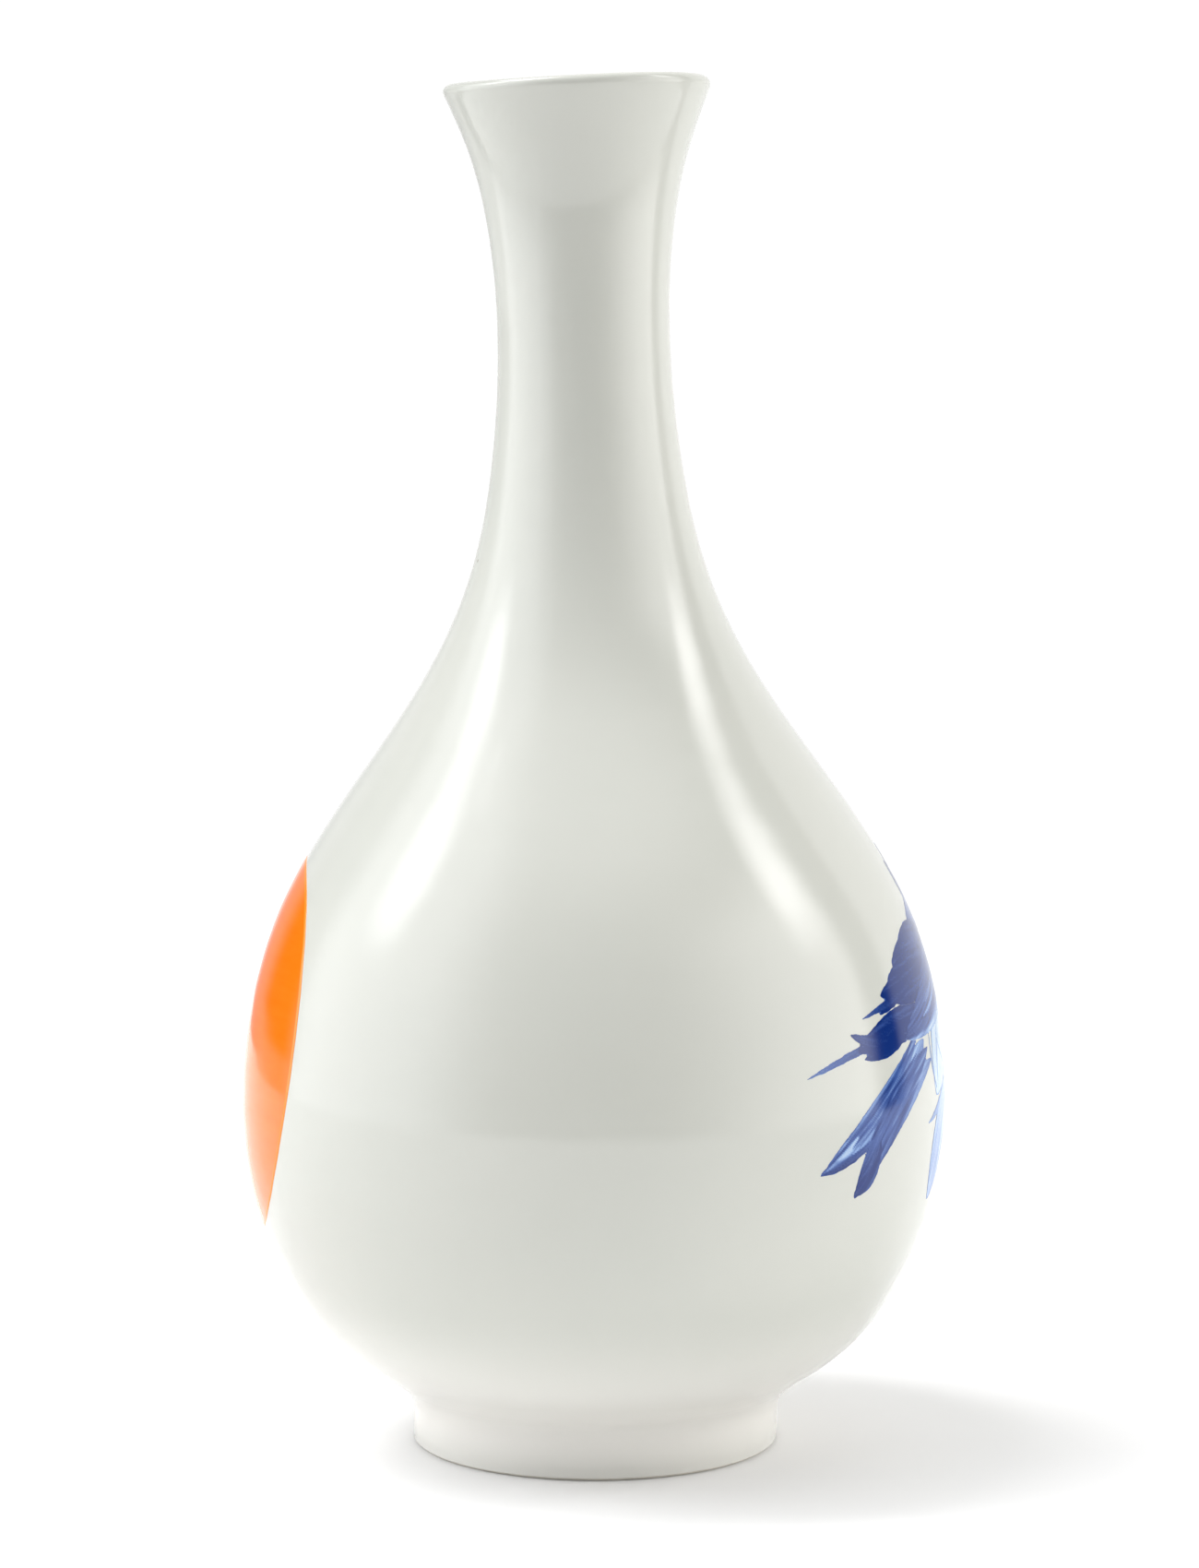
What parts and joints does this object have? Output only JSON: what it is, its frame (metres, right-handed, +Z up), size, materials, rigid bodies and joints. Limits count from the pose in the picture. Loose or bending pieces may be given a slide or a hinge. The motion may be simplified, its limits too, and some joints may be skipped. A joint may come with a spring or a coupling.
{
  "type": "vase",
  "caption": "Tall bottle vase of white glazed porcelain: round belly, long flared neck, foot ring, an orange enamel disc on one flank and a long-tailed cobalt bird on the other.",
  "frame": {"origin": "centre of the foot, on the surface the vase stands on", "axes": "+Z up along the pot, -Y the front, +X towards the flank with the bird, -X towards the flank with the disc"},
  "size_m": [0.1669, 0.1664, 0.3221],
  "materials": {
    "white_glaze": "clear glossy glaze over white porcelain",
    "foot_clay": "glazed porcelain, bare and ground smooth on the edge it stands on",
    "orange_enamel": "glossy orange enamel",
    "cobalt_paint": "cobalt brushwork under a glossy glaze"
  },
  "bodies": {
    "root": {"foot_ring": "foot_clay", "lower_body": "white_glaze", "upper_body": "white_glaze", "shoulder": "white_glaze", "neck": "white_glaze", "mouth_rim": "white_glaze", "sun_disc": "orange_enamel", "bird_body": "cobalt_paint", "bird_front_wing": "cobalt_paint", "bird_back_wing": "cobalt_paint", "bird_plume": "cobalt_paint", "bird_tail": "cobalt_paint", "bird_lower_plume": "cobalt_paint"}
  },
  "joints": []
}
